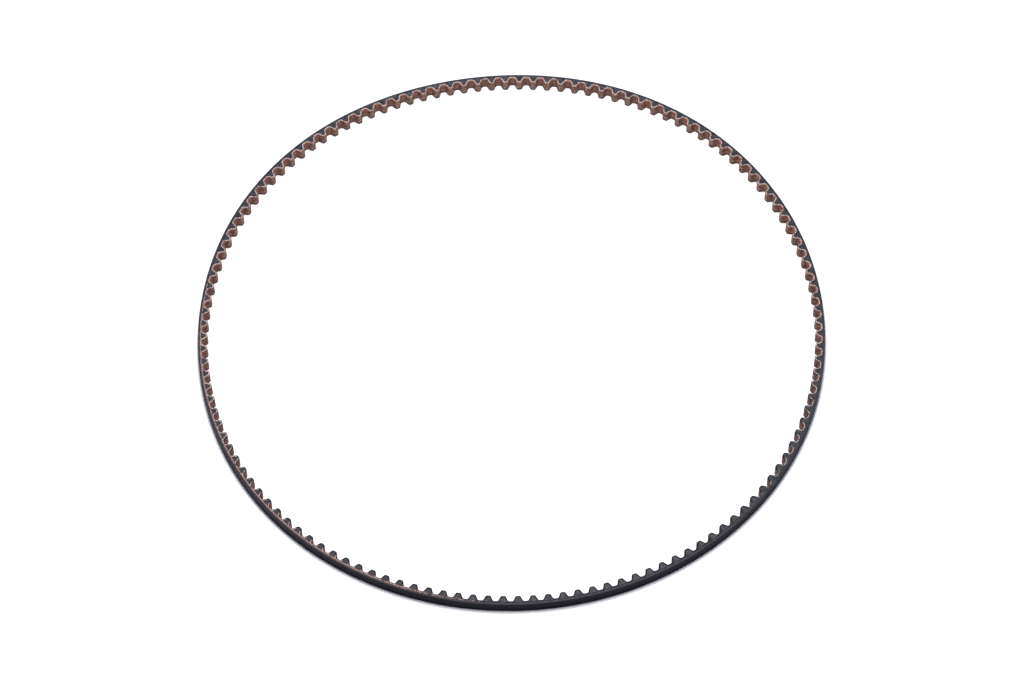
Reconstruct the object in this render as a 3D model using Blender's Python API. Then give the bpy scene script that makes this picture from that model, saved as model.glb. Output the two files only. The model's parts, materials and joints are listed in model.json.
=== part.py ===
"""Timing belt: a closed loop with teeth on its inside, lying on its edge.

The belt is built in layers, from the outside in: the rubber backing, the helical tension cord,
the rubber of the teeth, and the woven facing. A belt bends everywhere. Here it bends at hinges,
so each layer is made in spans, and the cord runs through them all.

Frame: metres, +Z up. The lower edge lies on Z = 0, the loop is centred on the Z axis, and its
longer axis is X.
"""

import math

import bpy
import numpy as np

# Pitch line: the line through the cord, whose length never changes.
TOOTH_PITCH = 0.008
TOOTH_COUNT = 132
LOOP_LENGTH = TOOTH_PITCH * TOOTH_COUNT

# The loop at rest is nearly round: a little oval, a little egg-shaped, a little squared and a
# little wavy. Each share of the radius comes and goes two, three, four or five times round it.
OVAL_SHARE = 0.0166
EGG_SHARE = 0.00165
EGG_TURN = math.radians(35)
SQUARE_SHARE = -0.00335
WAVE_SHARE = 0.001
WAVE_TURN = math.radians(-14)

# Section of the belt. Depths are measured inward from the pitch line.
BELT_WIDTH = 0.0075
BACK_DEPTH = -0.00133
LAND_DEPTH = 0.00088
TOOTH_HEIGHT = 0.003
TOOTH_BASE_HALF = 0.0027
TOOTH_TIP_HALF = 0.00125
TIP_CORNER = 0.0005
ROOT_CORNER = 0.0006
FACING_THICKNESS = 0.0003
CORD_RADIUS = 0.00035
CORD_LEAD = 0.00125
CORD_CLEARANCE = 0.00002
LAYER_GAP = 0.00003

# The top end of the cord, in tooth pitches from the +X axis, where it meets the upper edge.
CORD_TOP_AT = 46
CORD_TURNS = (BELT_WIDTH - 2 * CORD_RADIUS) / CORD_LEAD

# Spans and hinges. A cut every six teeth gives 22 places round the loop, counted from the +X
# axis. Four of them, a quarter loop apart, never bend.
TEETH_PER_CUT = 6
CUT_COUNT = TOOTH_COUNT // TEETH_PER_CUT
CUT_GAP = 0.00035
HINGE_DEPTH = 0.00057
ROOT_CUTS = (13, 15)
CHAIN_ONWARD = (15, 16, 17, 18, 20, 21, 22, 23, 24, 25)
CHAIN_BACK = (13, 12, 11, 10, 9, 7, 6, 5, 4, 3)

FINE_STEPS = 40 * TOOTH_COUNT


def trace_pitch_line():
    """Rows of X, Y and heading along the pitch line, at equal steps of length, for one loop."""
    turn = np.linspace(0, 2 * math.pi, FINE_STEPS + 1)
    oval = OVAL_SHARE * np.cos(2 * turn)
    egg = EGG_SHARE * np.cos(3 * (turn - EGG_TURN))
    square = SQUARE_SHARE * np.cos(4 * turn)
    wave = WAVE_SHARE * np.cos(5 * (turn - WAVE_TURN))
    radius = 1 + oval + egg + square + wave
    x = radius * np.cos(turn)
    y = radius * np.sin(turn)
    lengths = np.hypot(np.diff(x), np.diff(y))
    headings = np.unwrap(np.arctan2(np.diff(y), np.diff(x)))
    travelled = np.concatenate([[0], np.cumsum(lengths)])
    middles = (travelled[1:] + travelled[:-1]) / 2
    loop = travelled[-1]
    middles = np.concatenate([[middles[-1] - loop], middles, [middles[0] + loop]])
    around = 2 * math.pi
    headings = np.concatenate([[headings[-1] - around], headings, [headings[0] + around]])
    steps = np.linspace(0, loop, FINE_STEPS + 1)
    rows = [np.interp(steps, travelled, x), np.interp(steps, travelled, y)]
    for row in rows:
        row -= (row.max() + row.min()) / 2
        row *= LOOP_LENGTH / loop
    return np.stack(rows + [np.interp(steps, middles, headings)])


PITCH_LINE = trace_pitch_line()


def belt_point(along, depth):
    """The place at a number of tooth pitches along the loop and a depth inward."""
    place = (along % TOOTH_COUNT) / TOOTH_COUNT * FINE_STEPS
    x, y, angle = (np.interp(place, np.arange(FINE_STEPS + 1), row) for row in PITCH_LINE)
    return np.array([x - depth * math.sin(angle), y + depth * math.cos(angle)])


def make_material(name, color, roughness):
    material = bpy.data.materials.new(name)
    material.use_nodes = True
    shader = material.node_tree.nodes["Principled BSDF"]
    shader.inputs["Base Color"].default_value = (*color, 1)
    shader.inputs["Roughness"].default_value = roughness
    shader.inputs["Metallic"].default_value = 0
    return material


def tooth_outline(under):
    """A tooth from one land to the next, at a distance under the facing's surface.

    Each corner is cut back by equal lengths along the flank and along the land or the tip."""
    flank = (TOOTH_BASE_HALF - TOOTH_TIP_HALF) / TOOTH_HEIGHT
    slope = math.hypot(1, flank)
    narrower = (slope - flank) * under
    base = TOOTH_BASE_HALF - narrower
    tip = TOOTH_TIP_HALF - narrower
    low = LAND_DEPTH - under
    high = low + TOOTH_HEIGHT
    half = [
        (base + ROOT_CORNER, low),
        (base - ROOT_CORNER * flank / slope, low + ROOT_CORNER / slope),
        (tip + TIP_CORNER * flank / slope, high - TIP_CORNER / slope),
        (tip - TIP_CORNER, high),
    ]
    left = [(-side / TOOTH_PITCH, depth) for side, depth in half]
    right = [(side / TOOTH_PITCH, depth) for side, depth in half[::-1]]
    return left + right


def smooth_edge(start, end, depth):
    """Points of a plain edge: the two ends and one at every land between."""
    inset = CUT_GAP / 2 / TOOTH_PITCH
    lands = range(start + 1, end)
    return [(start + inset, depth)] + [(land, depth) for land in lands] + [(end - inset, depth)]


def toothed_edge(start, end, under):
    """Points of a toothed edge at a distance under the facing's surface."""
    inset = CUT_GAP / 2 / TOOTH_PITCH
    depth = LAND_DEPTH - under
    points = [(start + inset, depth)]
    for tooth in range(start, end):
        points += [(tooth + 0.5 + shift, level) for shift, level in tooth_outline(under)]
    return points + [(end - inset, depth)]


def add_layer(name, outer, inner, hinge, origin, material, parts):
    """One layer of one span: a flat outline as thick as the belt is wide."""
    curve = bpy.data.curves.new(name, "CURVE")
    curve.dimensions = "2D"
    curve.fill_mode = "BOTH"
    curve.extrude = BELT_WIDTH / 2
    outline = outer + inner[::-1]
    spline = curve.splines.new("POLY")
    spline.points.add(len(outline) - 1)
    for point, (along, depth) in zip(spline.points, outline):
        x, y = belt_point(along, depth) - origin
        point.co = (x, y, 0, 1)
    spline.use_cyclic_u = True
    spline.use_smooth = False
    curve.materials.append(material)
    layer = bpy.data.objects.new(name, curve)
    layer.parent = hinge
    layer.location = (0, 0, BELT_WIDTH / 2)
    parts.objects.link(layer)


def add_span(number, start_cut, end_cut, hinge, origin, materials, parts):
    """The backing, tooth rubber and facing between two cuts."""
    start = start_cut * TEETH_PER_CUT
    end = end_cut * TEETH_PER_CUT
    cord_side = CORD_RADIUS + CORD_CLEARANCE
    layers = {
        "backing": (smooth_edge(start, end, BACK_DEPTH), smooth_edge(start, end, -cord_side)),
        "tooth_rubber": (
            smooth_edge(start, end, cord_side),
            toothed_edge(start, end, FACING_THICKNESS + LAYER_GAP),
        ),
        "facing": (toothed_edge(start, end, FACING_THICKNESS), toothed_edge(start, end, 0)),
    }
    for kind, (outer, inner) in layers.items():
        name = f"{kind}_{number:02d}"
        add_layer(name, outer, inner, hinge, origin, materials[kind], parts)


def add_hinge(cut, parent, parent_origin, parts):
    """An empty on the axis of the hinge at a cut."""
    hinge = bpy.data.objects.new(f"hinge_{cut % CUT_COUNT:02d}", None)
    hinge.empty_display_size = TOOTH_PITCH
    origin = belt_point(cut * TEETH_PER_CUT, HINGE_DEPTH)
    hinge.parent = parent
    hinge.location = (*(origin - parent_origin), 0)
    parts.objects.link(hinge)
    return hinge, origin


def add_chain(cuts, first_number, materials, parts):
    """Spans hung one from the next, each from the hinge at the cut nearer to the root."""
    parent = None
    origin = np.zeros(2)
    for number, (near, far) in enumerate(zip(cuts, cuts[1:]), first_number):
        parent, origin = add_hinge(near, parent, origin, parts)
        start, end = sorted((near, far))
        add_span(number, start, end, parent, origin, materials, parts)


def add_cord(material, parts):
    """The tension cord: a helix that climbs from the lower edge to the upper one."""
    curve = bpy.data.curves.new("tension_cord", "CURVE")
    curve.dimensions = "3D"
    curve.bevel_depth = CORD_RADIUS
    curve.bevel_resolution = 1
    curve.use_fill_caps = True
    stations = math.floor(CORD_TURNS * TOOTH_COUNT)
    spline = curve.splines.new("POLY")
    spline.points.add(stations)
    for index, point in enumerate(spline.points):
        along = CORD_TOP_AT - stations + index
        x, y = belt_point(along, 0)
        z = BELT_WIDTH - CORD_RADIUS - CORD_LEAD * (stations - index) / TOOTH_COUNT
        point.co = (x, y, z, 1)
    curve.materials.append(material)
    parts.objects.link(bpy.data.objects.new("tension_cord", curve))


def main():
    for old in list(bpy.data.objects):
        bpy.data.objects.remove(old)
    parts = bpy.data.collections.new("timing_belt")
    bpy.context.scene.collection.children.link(parts)
    materials = {
        "backing": make_material("backing_rubber", (0.013, 0.013, 0.018), 0.45),
        "tooth_rubber": make_material("tooth_rubber", (0.06, 0.065, 0.08), 0.8),
        "facing": make_material("facing_weave", (0.22, 0.11, 0.08), 0.85),
    }
    add_span(0, *ROOT_CUTS, None, np.zeros(2), materials, parts)
    add_chain(CHAIN_ONWARD, 1, materials, parts)
    add_chain(CHAIN_BACK, len(CHAIN_ONWARD), materials, parts)
    add_cord(make_material("cord_fibre", (0.6, 0.42, 0.28), 0.9), parts)


main()
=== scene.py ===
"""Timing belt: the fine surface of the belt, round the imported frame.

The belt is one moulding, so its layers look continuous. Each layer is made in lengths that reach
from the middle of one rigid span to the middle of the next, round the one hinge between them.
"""

import json
import math

import bpy
import numpy as np
from mathutils import Matrix, Vector

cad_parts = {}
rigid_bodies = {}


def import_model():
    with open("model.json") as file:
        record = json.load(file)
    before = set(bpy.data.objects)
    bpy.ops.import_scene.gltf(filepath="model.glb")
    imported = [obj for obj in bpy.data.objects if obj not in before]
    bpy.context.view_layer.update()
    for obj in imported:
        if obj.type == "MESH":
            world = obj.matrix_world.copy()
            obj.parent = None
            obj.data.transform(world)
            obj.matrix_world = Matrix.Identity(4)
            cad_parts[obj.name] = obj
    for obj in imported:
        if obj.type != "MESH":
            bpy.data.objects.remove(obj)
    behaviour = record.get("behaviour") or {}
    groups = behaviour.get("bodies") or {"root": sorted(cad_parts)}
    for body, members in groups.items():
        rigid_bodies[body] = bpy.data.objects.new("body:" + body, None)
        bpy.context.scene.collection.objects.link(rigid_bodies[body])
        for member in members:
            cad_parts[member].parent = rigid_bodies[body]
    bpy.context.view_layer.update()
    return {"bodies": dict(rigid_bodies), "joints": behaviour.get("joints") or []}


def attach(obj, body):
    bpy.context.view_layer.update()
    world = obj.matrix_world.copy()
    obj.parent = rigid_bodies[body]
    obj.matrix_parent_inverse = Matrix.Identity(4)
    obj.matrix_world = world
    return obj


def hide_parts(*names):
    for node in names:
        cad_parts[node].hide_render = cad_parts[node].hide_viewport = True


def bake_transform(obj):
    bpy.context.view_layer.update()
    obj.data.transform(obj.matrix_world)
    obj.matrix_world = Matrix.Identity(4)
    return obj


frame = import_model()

# Pitch line: the line through the cord.
TOOTH_PITCH = 0.008
TOOTH_COUNT = 132
LOOP_LENGTH = TOOTH_PITCH * TOOTH_COUNT
OVAL_SHARE = 0.0166
EGG_SHARE = 0.00165
EGG_TURN = math.radians(35)
SQUARE_SHARE = -0.00335
WAVE_SHARE = 0.001
WAVE_TURN = math.radians(-14)
TEETH_PER_CUT = 6
CUT_COUNT = TOOTH_COUNT // TEETH_PER_CUT
FINE_STEPS = 40 * TOOTH_COUNT

# Section of the belt. Depths are measured inward from the pitch line.
BELT_WIDTH = 0.0075
BACK_DEPTH = -0.00133
LAND_DEPTH = 0.00088
TOOTH_HEIGHT = 0.003
TOOTH_BASE_HALF = 0.0027
TOOTH_TIP_HALF = 0.00125
TIP_ROUND = 0.001
ROOT_ROUND = 0.001
ROUND_POINTS = 5
FACING_THICKNESS = 0.0008
BACK_CORNER = 0.00006
BACK_STEPS_PER_TOOTH = 3
SHARP_ANGLE = math.radians(40)

# The facing's worn edges: how far up they reach, how far back they are worn, and how unevenly.
FRAY_HEIGHT = 0.0002
FRAY_INSET = 0.00049
FRAY_UNEVEN = 0.00004
LOWER_FRAY_SEED = 1
UPPER_FRAY_SEED = 2

# The seam: the place where the chain of bodies is open, counted in cuts, and the block inside it.
SEAM_CUT = 3
SEAM_CORE_LENGTH = 0.0014
SEAM_CORE_INSET = 0.00028

# Round one side of the loop, the knife smeared rubber over the facing's upper edge. It reaches
# further at the tips of the teeth than at the lands. Places and lengths are in tooth pitches.
SMEAR_START_LAND = 97
SMEAR_START_TIP = 72
SMEAR_END_LAND = 112
SMEAR_END_TIP = 125
SMEAR_FADE = 5

# The sliced cord lies bare round this place, for this half length, in tooth pitches. The cut
# rubber is darkest near there.
CORD_BARE_AT = 77
CORD_BARE_HALF = 25
DARKEST_AT = 84
DARK_HALF = 14

# The cord: a helix that the cut edges slice where it runs out through them. Its fibres stand a
# little proud of the upper edge. It ends where this share of its radius is sliced away.
CORD_RADIUS = 0.00035
CORD_LEAD = 0.00125
CORD_TOP_AT = 46
CORD_PROUD = 0.00005
CORD_PROUD_SEED = 8
CORD_END_SHARE = 0.97
CORD_SIDE_POINTS = 5
CORD_FLAT_POINTS = 6
CORD_STEPS_PER_TOOTH = 4

# The weave: yarns across the belt's width and along the surface of one tooth, and how far they
# stray from their lines. The band of cut rubber by the back is darker, and this wide.
YARNS_ACROSS = 18
YARNS_PER_TOOTH = 26
YARN_WANDER = 0.00012
DARK_BAND_WIDTH = 0.0009

# Colours, as linear red, green and blue.
BACK_DARK = (0.003, 0.0025, 0.0072)
BACK_LIGHT = (0.0062, 0.0054, 0.0132)
CUT_DARK = (0.0035, 0.0035, 0.0075)
CUT_LIGHT = (0.046, 0.0465, 0.06)
CUT_FLECK = (0.16, 0.13, 0.12)
CUT_BAND = (0.006, 0.006, 0.01)
CUT_DARKEST = (0.003, 0.003, 0.007)
# Painted shade: the knife marks' sheen, darker at the two ends of the loop's longer axis.
CUT_ENDS_PAINTED_SHADE = (0.003, 0.003, 0.005)
WEAVE_DARK = (0.07, 0.025, 0.017)
WEAVE_COPPER = (0.27, 0.11, 0.082)
WEAVE_PALE = (0.5, 0.29, 0.225)
# The lands: partly the facing's own redder colour, partly painted light that lifts the shade in the
# recess between teeth.
WEAVE_LAND_AND_PAINTED_LIGHT = (0.42, 0.17, 0.12)
# Painted shade in the creases along the teeth's flanks.
WEAVE_FLANK_PAINTED_SHADE = (0.04, 0.015, 0.011)
WEAVE_SCUFFED = (0.5, 0.34, 0.235)
WEAVE_GAPS = (0.035, 0.016, 0.015)
WEAVE_STRANDS = (0.5, 0.3, 0.23)
# Painted shade along the facing's lower edge, by the floor.
WEAVE_LOWER_PAINTED_SHADE = (0.03, 0.018, 0.018)
WEAVE_SMEAR = (0.012, 0.011, 0.015)
EDGE_DARK = (0.36, 0.27, 0.24)
EDGE_PALE = (0.78, 0.68, 0.635)
EDGE_GAPS = (0.1, 0.055, 0.052)
EDGE_SMEAR = (0.014, 0.012, 0.018)
CORD_DARK = (0.08, 0.038, 0.034)
CORD_PALE = (0.45, 0.28, 0.24)
CORD_SMEAR = (0.026, 0.025, 0.033)
FLOOR_COLOR = (0.85, 0.85, 0.85)

# Where the camera stands: seen from the loop's middle, in outer radii of the loop.
CAMERA_ELEVATION = math.radians(60.86)
CAMERA_TURN = math.radians(4.646)
CAMERA_ROLL = math.radians(-0.919)
CAMERA_DISTANCE = 11.236
CAMERA_RIGHT = 0.00128
CAMERA_UP = -0.01974
CAMERA_LENS = 121.83
CAMERA_SENSOR = 36

# The floor and the light.
FLOOR_HALF = 3.0
SKY_COLOR = (0.8, 0.83, 1.24)
SKY_STRENGTH = 0.18
KEY_PLACE = (0, 0.065, 1.3)
KEY_SIZE = (0.3, 0.46)
KEY_WATTS = 24.5


# ---------------------------------------------------------------- the belt's line


def trace_pitch_line():
    """Rows of X, Y and heading along the pitch line, at equal steps of length, for one loop."""
    turn = np.linspace(0, 2 * math.pi, FINE_STEPS + 1)
    oval = OVAL_SHARE * np.cos(2 * turn)
    egg = EGG_SHARE * np.cos(3 * (turn - EGG_TURN))
    square = SQUARE_SHARE * np.cos(4 * turn)
    wave = WAVE_SHARE * np.cos(5 * (turn - WAVE_TURN))
    radius = 1 + oval + egg + square + wave
    x = radius * np.cos(turn)
    y = radius * np.sin(turn)
    lengths = np.hypot(np.diff(x), np.diff(y))
    headings = np.unwrap(np.arctan2(np.diff(y), np.diff(x)))
    travelled = np.concatenate([[0], np.cumsum(lengths)])
    middles = (travelled[1:] + travelled[:-1]) / 2
    loop = travelled[-1]
    middles = np.concatenate([[middles[-1] - loop], middles, [middles[0] + loop]])
    around = 2 * math.pi
    headings = np.concatenate([[headings[-1] - around], headings, [headings[0] + around]])
    steps = np.linspace(0, loop, FINE_STEPS + 1)
    rows = [np.interp(steps, travelled, x), np.interp(steps, travelled, y)]
    for row in rows:
        row -= (row.max() + row.min()) / 2
        row *= LOOP_LENGTH / loop
    return np.stack(rows + [np.interp(steps, middles, headings)])


PITCH_LINE = trace_pitch_line()


def belt_points(along, depth):
    """Places, as rows of X and Y, at numbers of tooth pitches along the loop and depths inward."""
    place = (np.asarray(along, float) % TOOTH_COUNT) / TOOTH_COUNT * FINE_STEPS
    x, y, angle = (np.interp(place, np.arange(FINE_STEPS + 1), row) for row in PITCH_LINE)
    return np.stack([x - depth * np.sin(angle), y + depth * np.cos(angle)], axis=-1)


# ---------------------------------------------------------------- the tooth's outline


def rounded(corners, radii):
    """A line through corners, each rounded by an arc of its radius."""
    points = [np.array(corners[0])]
    for before, corner, after, radius in zip(corners, corners[1:], corners[2:], radii):
        corner = np.array(corner)
        back = np.array(before) - corner
        ahead = np.array(after) - corner
        back /= np.linalg.norm(back)
        ahead /= np.linalg.norm(ahead)
        half = math.acos(np.clip(back @ ahead, -1, 1)) / 2
        middle = (back + ahead) / np.linalg.norm(back + ahead)
        centre = corner + middle * radius / math.sin(half)
        first = corner + back * radius / math.tan(half) - centre
        last = corner + ahead * radius / math.tan(half) - centre
        for share in np.linspace(0, 1, ROUND_POINTS):
            sweep = (1 - share) * first + share * last
            points.append(centre + sweep / np.linalg.norm(sweep) * radius)
    points.append(np.array(corners[-1]))
    return np.array(points)


def tooth_outline():
    """One pitch of the facing's surface, from mid-land to mid-land, in metres: along and depth."""
    high = LAND_DEPTH + TOOTH_HEIGHT
    corners = [
        (-TOOTH_PITCH / 2, LAND_DEPTH),
        (-TOOTH_BASE_HALF, LAND_DEPTH),
        (-TOOTH_TIP_HALF, high),
        (TOOTH_TIP_HALF, high),
        (TOOTH_BASE_HALF, LAND_DEPTH),
        (TOOTH_PITCH / 2, LAND_DEPTH),
    ]
    return rounded(corners, (ROOT_ROUND, TIP_ROUND, TIP_ROUND, ROOT_ROUND))


def under_surface(outline, under):
    """The same outline at a distance under the facing's surface."""
    ahead = np.gradient(outline, axis=0)
    ahead /= np.linalg.norm(ahead, axis=1)[:, None]
    inward = np.stack([ahead[:, 1], -ahead[:, 0]], axis=1)
    moved = outline + inward * under
    moved[[0, -1], 0] = outline[[0, -1], 0]
    return moved


def repeat_outline(outline, start, end):
    """An outline repeated for every tooth from one land to another: tooth pitches and depths."""
    rows = []
    for tooth in range(start, end):
        last = len(outline) if tooth == end - 1 else -1
        row = outline[:last].copy()
        row[:, 0] = row[:, 0] / TOOTH_PITCH + tooth + 0.5
        rows.append(row)
    return np.vstack(rows)


def travelled(line, start, tooth_length):
    """Distance along a line of tooth pitches and depths, counted the same way in every length."""
    metres = line * [TOOTH_PITCH, 1]
    steps = np.linalg.norm(np.diff(metres, axis=0), axis=1)
    return start * tooth_length + np.concatenate([[0], np.cumsum(steps)])


# ---------------------------------------------------------------- meshes


def build_mesh(name, vertices, faces, slots, uvs, materials):
    """An object from vertices, faces, each face's material and each face corner's UV."""
    mesh = bpy.data.meshes.new(name)
    mesh.from_pydata(vertices.tolist(), [], faces)
    mesh.polygons.foreach_set("material_index", slots)
    mesh.uv_layers.new(name="surface").data.foreach_set("uv", uvs.ravel())
    for material in materials:
        mesh.materials.append(material)
    mesh.shade_smooth()
    mesh.set_sharp_from_angle(angle=SHARP_ANGLE)
    piece = bpy.data.objects.new(name, mesh)
    bpy.context.scene.collection.objects.link(piece)
    return piece


def quads(first, second, third, fourth):
    """Four-sided faces from four arrays of vertex numbers, one for each corner."""
    return np.stack([first.ravel(), second.ravel(), third.ravel(), fourth.ravel()], axis=1)


def make_layer(name, outer, inner, heights, start, lengths, materials):
    """A closed length of one layer, between an outer and an inner wall, with its cut edges.

    Each wall is a list of lines, one for each height. The materials are those of the outer wall,
    the inner wall and the cut edges."""
    count = len(outer[0])
    levels = len(heights)
    vertices = []
    for line, height in zip(outer + inner, list(heights) * 2):
        places = belt_points(line[:, 0], line[:, 1])
        vertices.append(np.column_stack([places, np.full(count, height)]))
    vertices = np.vstack(vertices)
    index = np.arange(2 * levels * count).reshape(2, levels, count)
    out, inn = index
    parts = [
        (quads(out[:-1, :-1], out[:-1, 1:], out[1:, 1:], out[1:, :-1]), 0),
        (quads(inn[:-1, :-1], inn[1:, :-1], inn[1:, 1:], inn[:-1, 1:]), 1),
        (quads(out[-1, :-1], out[-1, 1:], inn[-1, 1:], inn[-1, :-1]), 2),
        (quads(out[0, :-1], inn[0, :-1], inn[0, 1:], out[0, 1:]), 2),
        (quads(out[:-1, 0], out[1:, 0], inn[1:, 0], inn[:-1, 0]), 2),
        (quads(out[:-1, -1], inn[:-1, -1], inn[1:, -1], out[1:, -1]), 2),
    ]
    faces = np.vstack([rows for rows, _ in parts])
    slots = np.concatenate([np.full(len(rows), slot) for rows, slot in parts])
    wall_uv = np.zeros((2 * levels * count, 2))
    edge_uv = np.zeros((2 * levels * count, 2))
    for side, (lines, length) in enumerate(zip((outer, inner), lengths)):
        for level, height in enumerate(heights):
            wall_uv[index[side, level], 0] = travelled(lines[levels // 2], start, length)
            wall_uv[index[side, level], 1] = height
            edge_uv[index[side, level], 0] = lines[level][:, 0] * TOOTH_PITCH
            edge_uv[index[side, level], 1] = lines[level][:, 1]
    on_edge = slots[:, None, None] == 2
    uvs = np.where(on_edge, edge_uv[faces], wall_uv[faces])
    return build_mesh(name, vertices, faces.tolist(), slots, uvs, materials)


# ---------------------------------------------------------------- materials


class Shader:
    """A Principled material and short ways to add the nodes that vary it."""

    def __init__(self, name, roughness, specular):
        self.material = bpy.data.materials.new(name)
        self.material.use_nodes = True
        self.tree = self.material.node_tree
        self.principled = self.tree.nodes["Principled BSDF"]
        self.principled.inputs["Roughness"].default_value = roughness
        self.principled.inputs["Specular IOR Level"].default_value = specular
        self.uv = self.node("ShaderNodeUVMap").outputs["UV"]
        parts = self.node("ShaderNodeSeparateXYZ")
        self.link(self.uv, parts.inputs[0])
        self.along = parts.outputs["X"]
        self.across = parts.outputs["Y"]

    def node(self, kind, **settings):
        node = self.tree.nodes.new(kind)
        for key, value in settings.items():
            setattr(node, key, value)
        return node

    def link(self, value, socket):
        """Feeds a socket from another socket, or sets it to a number or a colour."""
        if isinstance(value, bpy.types.NodeSocket):
            self.tree.links.new(value, socket)
        elif isinstance(value, tuple):
            socket.default_value = (*value, 1)
        else:
            socket.default_value = value

    def maths(self, operation, *values):
        node = self.node("ShaderNodeMath", operation=operation)
        for value, socket in zip(values, node.inputs):
            self.link(value, socket)
        return node.outputs[0]

    def add(self, first, second):
        return self.maths("ADD", first, second)

    def subtract(self, first, second):
        return self.maths("SUBTRACT", first, second)

    def multiply(self, first, second):
        return self.maths("MULTIPLY", first, second)

    def divide(self, first, second):
        return self.maths("DIVIDE", first, second)

    def distance(self, first, second):
        """How far apart two values are."""
        return self.maths("ABSOLUTE", self.subtract(first, second))

    def between(self, share, first, second):
        """The number at a share of the way from one number to another."""
        return self.maths("MULTIPLY_ADD", share, second - first, first)

    def noise(self, per_metre, detail, stretch=(1, 1)):
        """Noise from 0 to 1, with features per metre, stretched along or across."""
        mapping = self.node("ShaderNodeMapping")
        self.link(self.uv, mapping.inputs["Vector"])
        mapping.inputs["Scale"].default_value = (per_metre * stretch[0], per_metre * stretch[1], 1)
        node = self.node("ShaderNodeTexNoise", noise_dimensions="2D")
        self.link(mapping.outputs[0], node.inputs["Vector"])
        node.inputs["Scale"].default_value = 1
        node.inputs["Detail"].default_value = detail
        return node.outputs["Fac"]

    def ramp(self, value, *stops):
        """Colours or grey levels at stops along a value."""
        node = self.node("ShaderNodeValToRGB")
        elements = node.color_ramp.elements
        while len(elements) < len(stops):
            elements.new(0.5)
        for element, (place, level) in zip(elements, stops):
            color = level if isinstance(level, tuple) else (level, level, level)
            element.position = place
            element.color = (*color, 1)
        self.link(value, node.inputs[0])
        return node.outputs[0]

    def mix(self, share, first, second, blend="MIX"):
        node = self.node("ShaderNodeMix", data_type="RGBA", blend_type=blend)
        self.link(share, node.inputs["Factor"])
        self.link(first, node.inputs["A"])
        self.link(second, node.inputs["B"])
        return node.outputs["Result"]

    def remap(self, value, low, high):
        node = self.node("ShaderNodeMapRange")
        self.link(value, node.inputs["Value"])
        node.inputs["To Min"].default_value = low
        node.inputs["To Max"].default_value = high
        return node.outputs["Result"]

    def smeared(self, tooth, depth):
        """How much rubber is smeared over the facing's upper edge, from 0 to 1."""
        share = self.divide(depth, LAND_DEPTH + TOOTH_HEIGHT)
        start = self.between(share, SMEAR_START_LAND, SMEAR_START_TIP)
        end = self.between(share, SMEAR_END_LAND, SMEAR_END_TIP)
        beyond = self.maths("MAXIMUM", self.subtract(start, tooth), self.subtract(tooth, end))
        uneven = self.subtract(self.noise(600, detail=2), 0.5)
        faded = self.add(self.divide(beyond, SMEAR_FADE), uneven)
        return self.maths("MINIMUM", self.maths("MAXIMUM", self.subtract(1, faded), 0), 1)

    def finish(self, color, height, bump_distance, bump_strength):
        """Links the colour and a bump of this distance in metres and strength."""
        self.link(color, self.principled.inputs["Base Color"])
        bump = self.node("ShaderNodeBump")
        bump.inputs["Distance"].default_value = bump_distance
        bump.inputs["Strength"].default_value = bump_strength
        self.link(height, bump.inputs["Height"])
        self.link(bump.outputs[0], self.principled.inputs["Normal"])
        return self.material


def back_rubber():
    """Near-black satin rubber, ground smooth, with fine lines along the belt."""
    shader = Shader("back_rubber", roughness=0.5, specular=0.04)
    mottle = shader.noise(900, detail=4)
    lines = shader.noise(6000, detail=2, stretch=(0.03, 1))
    color = shader.ramp(mottle, (0.3, BACK_DARK), (0.75, BACK_LIGHT))
    height = shader.add(mottle, shader.multiply(lines, 0.6))
    shader.link(shader.remap(lines, 0.4, 0.62), shader.principled.inputs["Roughness"])
    return shader.finish(color, height, bump_distance=0.00003, bump_strength=0.5)


def cut_rubber():
    """The slit edge: blue-black and matte, with knife marks and stray specks of fibre.

    It is darker at the two ends of the loop's longer axis: painted shade standing in for the knife
    marks' sheen, which changes with the way the marks run."""
    shader = Shader("cut_rubber", roughness=0.6, specular=0.3)
    grain = shader.noise(1400, detail=4)
    patches = shader.noise(450, detail=3)
    marks = shader.noise(5000, detail=2, stretch=(1, 0.12))
    specks = shader.noise(7000, detail=1)
    tone = shader.add(shader.multiply(grain, 0.4), shader.multiply(patches, 0.6))
    color = shader.ramp(tone, (0.4, CUT_DARK), (0.58, CUT_LIGHT))
    fleck = shader.ramp(specks, (0.68, 0), (0.8, 0.5))
    color = shader.mix(fleck, color, CUT_FLECK)
    from_back = shader.divide(shader.subtract(shader.across, BACK_DEPTH), DARK_BAND_WIDTH)
    band = shader.ramp(from_back, (0.25, 0.85), (1, 0))
    color = shader.mix(band, color, CUT_BAND)
    from_darkest = shader.distance(shader.along, DARKEST_AT * TOOTH_PITCH)
    dark = shader.ramp(shader.divide(from_darkest, DARK_HALF * TOOTH_PITCH), (0.4, 0.5), (1, 0))
    color = shader.mix(dark, color, CUT_DARKEST)
    # Painted shade at the two ends of the loop's longer axis, standing in for the knife marks'
    # sheen.
    twice_round = shader.multiply(shader.along, 4 * math.pi / LOOP_LENGTH)
    ends = shader.maths("MULTIPLY_ADD", shader.maths("COSINE", twice_round), 0.25, 0.25)
    color = shader.mix(ends, color, CUT_ENDS_PAINTED_SHADE)
    height = shader.add(grain, shader.multiply(marks, 0.7))
    return shader.finish(color, height, bump_distance=0.00005, bump_strength=0.7)


def woven_height(shader, yarn_across, yarn_along):
    """The weave's relief, from 0 in its gaps to 1 on its crowns, from each yarn's width."""
    wander = shader.multiply(shader.noise(700, detail=2), YARN_WANDER)
    u = shader.divide(shader.add(shader.along, wander), yarn_along)
    v = shader.divide(shader.add(shader.across, wander), yarn_across)
    warp = shader.maths("ABSOLUTE", shader.maths("SINE", shader.multiply(u, math.pi)))
    weft = shader.maths("ABSOLUTE", shader.maths("SINE", shader.multiply(v, math.pi)))
    cells = shader.add(shader.maths("FLOOR", u), shader.maths("FLOOR", v))
    over = shader.node("ShaderNodeMix")
    shader.link(shader.maths("FLOORED_MODULO", cells, 2), over.inputs["Factor"])
    shader.link(warp, over.inputs["A"])
    shader.link(weft, over.inputs["B"])
    return over.outputs["Result"]


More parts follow.
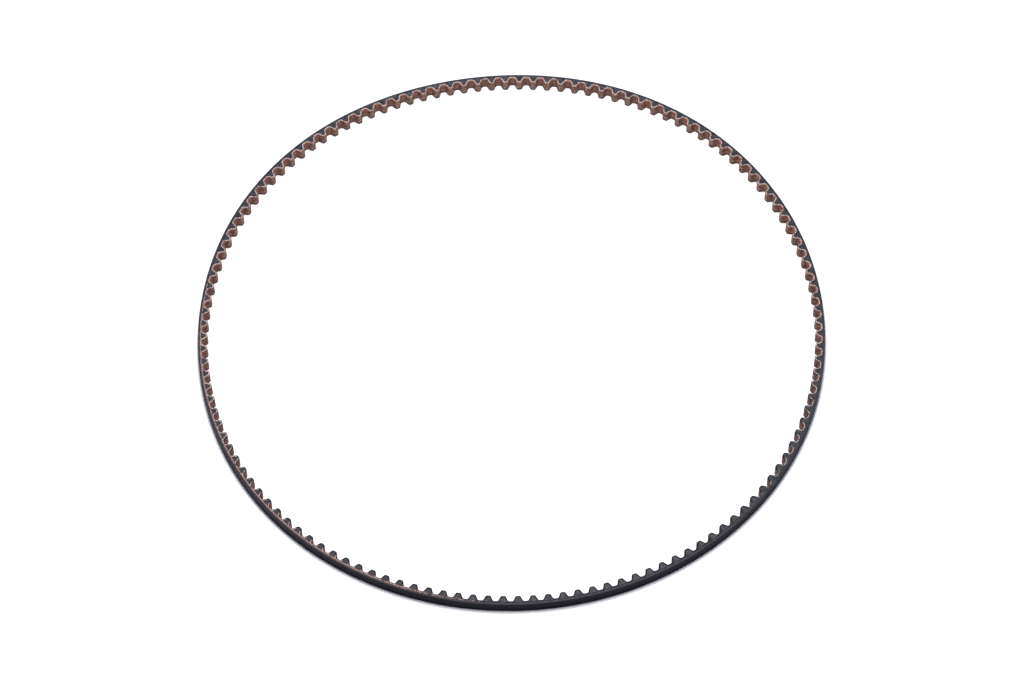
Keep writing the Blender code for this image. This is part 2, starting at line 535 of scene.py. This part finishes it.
def facing_weave(tooth_length):
    """Copper-brown woven nylon: yarns over and under, scuffed to tan on the tooth tips.

    The tooth length is that of the surface over one tooth, from mid-land to mid-land."""
    shader = Shader("facing_weave", roughness=0.75, specular=0.2)
    crown = woven_height(shader, BELT_WIDTH / YARNS_ACROSS, tooth_length / YARNS_PER_TOOTH)
    yarn = shader.noise(1700, detail=2, stretch=(1, 0.8))
    blotch = shader.noise(500, detail=3)
    fibre = shader.noise(9000, detail=2, stretch=(1, 0.4))
    tone = shader.multiply(shader.add(yarn, blotch), 0.5)
    color = shader.ramp(tone, (0.41, WEAVE_DARK), (0.5, WEAVE_COPPER), (0.59, WEAVE_PALE))
    tooth = shader.divide(shader.along, tooth_length)
    from_tip = shader.distance(shader.maths("FRACT", tooth), 0.5)
    # Lands partly the facing's own redder colour, partly painted light lifting the shade in the
    # recess between teeth.
    land_and_painted_light = shader.ramp(from_tip, (0.36, 0), (0.45, 0.4))
    color = shader.mix(land_and_painted_light, color, WEAVE_LAND_AND_PAINTED_LIGHT)
    # Painted shade in the creases along the teeth's flanks.
    flank_shade = shader.ramp(from_tip, (0.17, 0), (0.25, 0.35), (0.37, 0))
    color = shader.mix(flank_shade, color, WEAVE_FLANK_PAINTED_SHADE)
    tip = shader.ramp(from_tip, (0.02, 0.75), (0.17, 0))
    speck = shader.ramp(yarn, (0.47, 0), (0.58, 1))
    color = shader.mix(shader.mix(1.0, tip, speck, "MULTIPLY"), color, WEAVE_SCUFFED)
    color = shader.mix(shader.remap(crown, 0.7, 0), color, WEAVE_GAPS)
    strands = shader.ramp(fibre, (0.5, 0), (0.75, 0.3))
    color = shader.mix(strands, color, WEAVE_STRANDS)
    height_share = shader.divide(shader.across, BELT_WIDTH)
    # Painted shade along the facing's lower edge, where it stands on the floor.
    lower_edge_shade = shader.ramp(height_share, (0.07, 0.9), (0.25, 0))
    color = shader.mix(lower_edge_shade, color, WEAVE_LOWER_PAINTED_SHADE)
    by_edge = shader.ramp(height_share, (0.9, 0), (0.96, 1))
    smear = shader.multiply(by_edge, shader.smeared(tooth, LAND_DEPTH + TOOTH_HEIGHT))
    color = shader.mix(smear, color, WEAVE_SMEAR)
    height = shader.add(crown, shader.multiply(fibre, 0.5))
    return shader.finish(color, height, bump_distance=0.00012, bump_strength=0.9)


def facing_edge():
    """The facing's cut edge: pale pinkish fibre ends, smeared with rubber on one side."""
    shader = Shader("facing_edge", roughness=0.9, specular=0.15)
    shader.principled.inputs["Sheen Weight"].default_value = 0.2
    fibre = shader.noise(5000, detail=3, stretch=(1, 0.6))
    gaps = shader.noise(1200, detail=3)
    color = shader.ramp(fibre, (0.32, EDGE_DARK), (0.6, EDGE_PALE))
    dark = shader.ramp(gaps, (0.4, 0.85), (0.52, 0))
    color = shader.mix(dark, color, EDGE_GAPS)
    smear = shader.smeared(shader.divide(shader.along, TOOTH_PITCH), shader.across)
    color = shader.mix(smear, color, EDGE_SMEAR)
    return shader.finish(color, fibre, bump_distance=0.0001, bump_strength=0.8)


def cord_fibre():
    """Pinkish-brown fibre with rubber smeared over it where the knife sliced it.

    It is barest in clumps near CORD_BARE_AT, and a little barer on its inner side."""
    shader = Shader("cord_fibre", roughness=0.85, specular=0.2)
    fibre = shader.noise(5000, detail=3, stretch=(0.25, 1))
    clumps = shader.noise(350, detail=3)
    color = shader.ramp(fibre, (0.38, CORD_DARK), (0.62, CORD_PALE))
    side = shader.divide(shader.distance(shader.across, 0.00008), CORD_RADIUS)
    from_middle = shader.distance(shader.along, CORD_BARE_AT * TOOTH_PITCH)
    away = shader.divide(from_middle, CORD_BARE_HALF * TOOTH_PITCH)
    covered = shader.add(shader.multiply(side, 0.15), shader.maths("POWER", away, 4))
    bare = shader.subtract(shader.add(clumps, 0.23), covered)
    smear = shader.ramp(bare, (0.42, 1), (0.56, 0))
    color = shader.mix(smear, color, CORD_SMEAR)
    return shader.finish(color, fibre, bump_distance=0.00008, bump_strength=0.8)


# ---------------------------------------------------------------- the lengths of the belt


class Length:
    """A length of the belt with one hinge, from the middle of one rigid span to the next."""

    def __init__(self, joint, cut, before, after):
        self.cut = cut
        self.start = round((before + cut) / 2 * TEETH_PER_CUT)
        self.end = round((cut + after) / 2 * TEETH_PER_CUT)
        onward = joint["axis"][2] > 0
        ends = (joint["parent"], joint["child"])
        self.bodies = ends if onward else ends[::-1]
        self.numbers = [joint["child"][-2:]]
        if joint["parent"] == ROOT_BODY:
            self.numbers.append(ROOT_BODY[-2:])

    def bend(self, piece):
        """Bakes a piece's placement into its mesh; it is not bent at the hinge."""
        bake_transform(piece)

    def replace(self, piece, layer):
        """Puts a piece in the place of the spans' own nodes of its layer."""
        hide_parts(*(f"{layer}_{number}" for number in self.numbers))


def find_lengths():
    """One length for each hinge, in order round the loop."""
    joints = {int(joint["name"][-2:]): joint for joint in frame["joints"]}
    cuts = sorted(joints)
    before = [cuts[-1] - CUT_COUNT] + cuts[:-1]
    after = cuts[1:] + [cuts[0] + CUT_COUNT]
    return [Length(joints[cut], cut, low, high) for cut, low, high in zip(cuts, before, after)]


ROOT_BODY = (set(frame["bodies"]) - {joint["child"] for joint in frame["joints"]}).pop()
LENGTHS = find_lengths()

SURFACE = tooth_outline()
UNDERSIDE = under_surface(SURFACE, FACING_THICKNESS)


def outline_length(outline):
    return np.linalg.norm(np.diff(outline, axis=0), axis=1).sum()


def plain_line(along, depth):
    return np.column_stack([along, np.full(len(along), depth)])


def make_backing(length, materials):
    teeth = length.end - length.start
    along = np.linspace(length.start, length.end, BACK_STEPS_PER_TOOTH * teeth + 1)
    heights = [0, BACK_CORNER, BELT_WIDTH / 2, BELT_WIDTH - BACK_CORNER, BELT_WIDTH]
    corner = plain_line(along, BACK_DEPTH + BACK_CORNER)
    back = plain_line(along, BACK_DEPTH)
    piece = make_layer(
        f"backing_bend_{length.cut:02d}",
        [corner, back, back, back, corner],
        [plain_line(along, 0)] * len(heights),
        heights,
        length.start,
        (TOOTH_PITCH, TOOTH_PITCH),
        (materials["back"], materials["cut"], materials["cut"]),
    )
    length.bend(piece)
    length.replace(piece, "backing")


def make_tooth_rubber(length, materials):
    teeth = repeat_outline(UNDERSIDE, length.start, length.end)
    piece = make_layer(
        f"tooth_rubber_bend_{length.cut:02d}",
        [plain_line(teeth[:, 0], 0)] * 2,
        [teeth] * 2,
        [0, BELT_WIDTH],
        length.start,
        (TOOTH_PITCH, outline_length(UNDERSIDE)),
        (materials["cut"], materials["cut"], materials["cut"]),
    )
    length.bend(piece)
    length.replace(piece, "tooth_rubber")


def frayed_line(length, seed):
    """The facing's surface worn back by an uneven amount, the same where two lengths meet."""
    each = len(SURFACE) - 1
    line = repeat_outline(SURFACE, length.start, length.end)
    under = repeat_outline(UNDERSIDE, length.start, length.end)
    order = (length.start * each + np.arange(len(line))) % (TOOTH_COUNT * each)
    uneven = np.random.default_rng(seed).uniform(-1, 1, TOOTH_COUNT * each)[order]
    share = (FRAY_INSET + FRAY_UNEVEN * uneven) / FACING_THICKNESS
    return line + (under - line) * share[:, None]


def make_facing(length, materials):
    under = repeat_outline(UNDERSIDE, length.start, length.end)
    whole = repeat_outline(SURFACE, length.start, length.end)
    heights = [0, FRAY_HEIGHT, BELT_WIDTH / 2, BELT_WIDTH - FRAY_HEIGHT, BELT_WIDTH]
    lower = frayed_line(length, LOWER_FRAY_SEED)
    upper = frayed_line(length, UPPER_FRAY_SEED)
    piece = make_layer(
        f"facing_bend_{length.cut:02d}",
        [under] * len(heights),
        [lower, whole, whole, whole, upper],
        heights,
        length.start,
        (outline_length(UNDERSIDE), outline_length(SURFACE)),
        (materials["weave"], materials["weave"], materials["raw"]),
    )
    length.bend(piece)
    length.replace(piece, "facing")


def make_seam_core(materials):
    """A hidden block of rubber across the seam, so that a bend never opens a slit right through."""
    seam = SEAM_CUT * TEETH_PER_CUT
    half = SEAM_CORE_LENGTH / TOOTH_PITCH / 2
    along = np.array([seam - half, seam + half])
    piece = make_layer(
        "seam_core",
        [plain_line(along, BACK_DEPTH + SEAM_CORE_INSET)] * 2,
        [plain_line(along, LAND_DEPTH - SEAM_CORE_INSET)] * 2,
        [SEAM_CORE_INSET, BELT_WIDTH - SEAM_CORE_INSET],
        seam,
        (TOOTH_PITCH, TOOTH_PITCH),
        (materials["cut"], materials["cut"], materials["cut"]),
    )
    before = next(length for length in LENGTHS if length.end == seam)
    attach(piece, before.bodies[1])


# ---------------------------------------------------------------- the cord

def cord_section(height):
    """The cord's outline where its centre is at a height: a circle, flat where an edge slices it."""
    room_above = (BELT_WIDTH + CORD_PROUD - height) / CORD_RADIUS
    room_below = height / CORD_RADIUS
    top = math.acos(np.clip(room_above, -CORD_END_SHARE, CORD_END_SHARE))
    bottom = math.acos(np.clip(room_below, -CORD_END_SHARE, CORD_END_SHARE))
    right = np.linspace(top, math.pi - bottom, CORD_SIDE_POINTS)
    sides = np.stack([np.sin(right), np.cos(right)], axis=1)
    over = np.linspace(-math.sin(top), math.sin(top), CORD_FLAT_POINTS)[1:-1]
    under = np.linspace(math.sin(bottom), -math.sin(bottom), CORD_FLAT_POINTS)[1:-1]
    flat_over = np.stack([over, np.full(len(over), math.cos(top))], axis=1)
    flat_under = np.stack([under, np.full(len(under), -math.cos(bottom))], axis=1)
    left = sides[::-1] * [-1, 1]
    return np.vstack([sides, flat_under, left, flat_over]) * CORD_RADIUS


def cord_height(along):
    """The height of the cord's centre, at tooth pitches counted on past each full turn."""
    return BELT_WIDTH - CORD_RADIUS + (along - CORD_TOP_AT) / TOOTH_COUNT * CORD_LEAD


def cord_runs(length):
    """Where each run of the cord through a length starts and ends, counted on past full turns."""
    reach = CORD_RADIUS * CORD_END_SHARE
    first = CORD_TOP_AT - (BELT_WIDTH - CORD_RADIUS + reach) / CORD_LEAD * TOOTH_COUNT
    last = CORD_TOP_AT + (CORD_RADIUS + reach) / CORD_LEAD * TOOTH_COUNT
    first_turn = math.floor((first - length.end) / TOOTH_COUNT)
    last_turn = math.ceil(last / TOOTH_COUNT)
    for turn in range(first_turn, last_turn + 1):
        low = max(length.start + turn * TOOTH_COUNT, first)
        high = min(length.end + turn * TOOTH_COUNT, last)
        if high - low >= 1 / CORD_STEPS_PER_TOOTH:
            yield low, high


def cord_ring(along, random):
    """Vertices round the cord at one place, rough where the upper edge slices it, and their UVs."""
    height = cord_height(along)
    section = cord_section(height)
    level = height + section[:, 1]
    sliced = (level > BELT_WIDTH) | (level < 0)
    rough = random.uniform(0, CORD_PROUD, len(section)) * sliced
    level = np.maximum(level + np.where(level > BELT_WIDTH, rough, 0), 0)
    places = belt_points(np.full(len(section), along), section[:, 0])
    return np.column_stack([places, level]), [(along * TOOTH_PITCH, side) for side in section[:, 0]]


def make_cord(length, materials, random):
    """Every run of the cord that passes through a length, as closed tubes in one piece."""
    vertices = []
    faces = []
    uvs = []
    for low, high in cord_runs(length):
        stations = np.linspace(low, high, math.ceil((high - low) * CORD_STEPS_PER_TOOTH) + 1)
        base = len(uvs)
        for along in stations:
            ring, ring_uvs = cord_ring(along, random)
            vertices.append(ring)
            uvs += ring_uvs
        around = len(ring)
        index = base + np.arange(len(stations) * around).reshape(len(stations), around)
        ahead = np.roll(index, -1, axis=1)
        faces += quads(index[:-1], index[1:], ahead[1:], ahead[:-1]).tolist()
        faces.append(index[0].tolist())
        faces.append(index[-1][::-1].tolist())
    slots = np.zeros(len(faces), int)
    corner_uvs = np.array([uvs[vertex] for face in faces for vertex in face])
    name = f"cord_bend_{length.cut:02d}"
    piece = build_mesh(name, np.vstack(vertices), faces, slots, corner_uvs, [materials["cord"]])
    length.bend(piece)
    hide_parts("tension_cord")


# ---------------------------------------------------------------- camera, floor and light


def add_camera():
    outer_radius = LOOP_LENGTH / (2 * math.pi) - BACK_DEPTH
    turn = Matrix.Rotation(-CAMERA_TURN, 3, "Z")
    back = turn @ Vector((0, -math.cos(CAMERA_ELEVATION), math.sin(CAMERA_ELEVATION)))
    right = turn @ Vector((1, 0, 0))
    up = back.cross(right)
    place = (back * CAMERA_DISTANCE + right * CAMERA_RIGHT + up * CAMERA_UP) * outer_radius
    rolled_right = right * math.cos(CAMERA_ROLL) + up * math.sin(CAMERA_ROLL)
    rolled_up = up * math.cos(CAMERA_ROLL) - right * math.sin(CAMERA_ROLL)
    data = bpy.data.cameras.new("camera")
    data.lens = CAMERA_LENS
    data.sensor_width = CAMERA_SENSOR
    camera = bpy.data.objects.new("camera", data)
    axes = Matrix((rolled_right, rolled_up, back)).transposed()
    camera.matrix_world = Matrix.Translation(place) @ axes.to_4x4()
    bpy.context.scene.collection.objects.link(camera)
    bpy.context.scene.camera = camera


def add_floor():
    mesh = bpy.data.meshes.new("floor")
    half = FLOOR_HALF
    corners = [(-half, -half, 0), (half, -half, 0), (half, half, 0), (-half, half, 0)]
    mesh.from_pydata(corners, [], [(0, 1, 2, 3)])
    material = bpy.data.materials.new("floor")
    material.use_nodes = True
    shader = material.node_tree.nodes["Principled BSDF"]
    shader.inputs["Base Color"].default_value = (*FLOOR_COLOR, 1)
    shader.inputs["Roughness"].default_value = 0.9
    shader.inputs["Specular IOR Level"].default_value = 0
    mesh.materials.append(material)
    floor = bpy.data.objects.new("floor", mesh)
    bpy.context.scene.collection.objects.link(floor)


def add_light():
    """A pale blue sky, and one soft lamp beyond the loop's middle that clips the floor to white."""
    world = bpy.data.worlds.new("studio")
    world.use_nodes = True
    background = world.node_tree.nodes["Background"]
    background.inputs["Color"].default_value = (*SKY_COLOR, 1)
    background.inputs["Strength"].default_value = SKY_STRENGTH
    bpy.context.scene.world = world
    data = bpy.data.lights.new("key", "AREA")
    data.energy = KEY_WATTS
    data.shape = "RECTANGLE"
    data.size = KEY_SIZE[0]
    data.size_y = KEY_SIZE[1]
    key = bpy.data.objects.new("key", data)
    key.location = KEY_PLACE
    bpy.context.scene.collection.objects.link(key)
    bpy.context.scene.view_settings.view_transform = "Standard"


def main():
    add_camera()
    add_floor()
    add_light()
    materials = {
        "back": back_rubber(),
        "cut": cut_rubber(),
        "weave": facing_weave(outline_length(SURFACE)),
        "raw": facing_edge(),
        "cord": cord_fibre(),
    }
    random = np.random.default_rng(CORD_PROUD_SEED)
    for length in LENGTHS:
        make_backing(length, materials)
        make_tooth_rubber(length, materials)
        make_facing(length, materials)
        make_cord(length, materials, random)
    make_seam_core(materials)


main()
